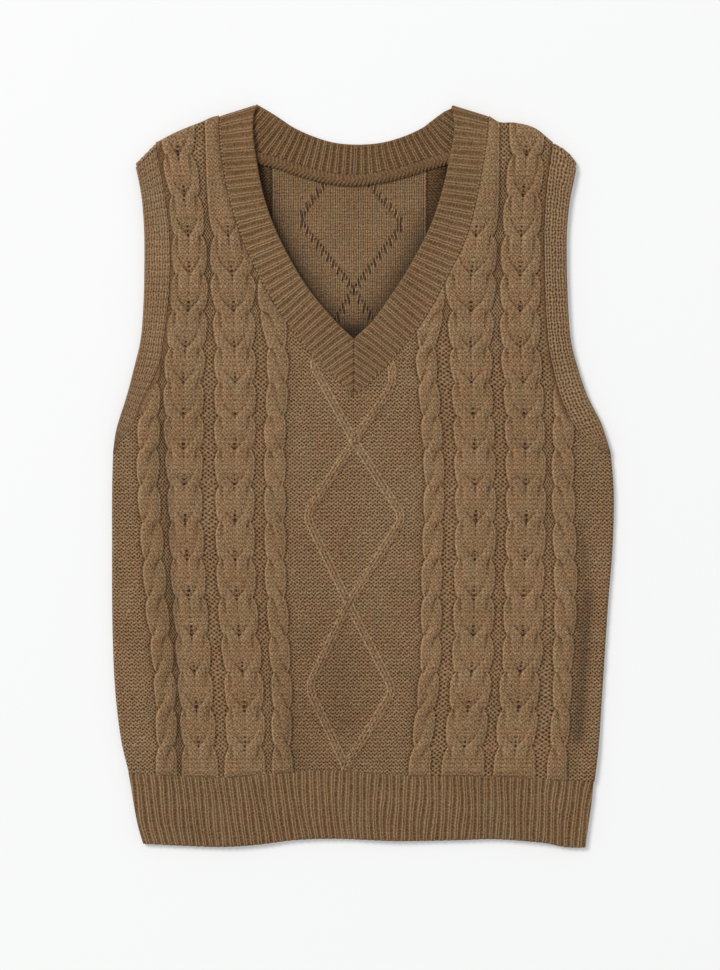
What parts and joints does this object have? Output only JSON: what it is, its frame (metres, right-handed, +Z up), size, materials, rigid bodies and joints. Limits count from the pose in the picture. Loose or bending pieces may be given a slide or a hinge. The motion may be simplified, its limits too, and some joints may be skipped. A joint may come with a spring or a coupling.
{
  "type": "knitted sweater vest",
  "caption": "Sleeveless V-neck pullover vest in cable knit with ribbed neckband, armbands and hem, laid flat with its front up.",
  "frame": {"origin": "centre of the laid vest's bounding box, on the surface it lies on", "axes": "+Z up from the surface to the front of the vest, +Y from the hem towards the neck, +X towards the wearer's left shoulder"},
  "size_m": [0.419, 0.619, 0.0093],
  "materials": {
    "body_knit": "matt camel brown cable knit",
    "rib_knit": "matt camel brown rib knit"
  },
  "bodies": {
    "root": {"front_panel": "body_knit", "back_panel": "body_knit", "hem_front": "rib_knit", "hem_back": "rib_knit", "neckband": "rib_knit", "armband_left": "rib_knit", "armband_right": "rib_knit"}
  },
  "joints": []
}
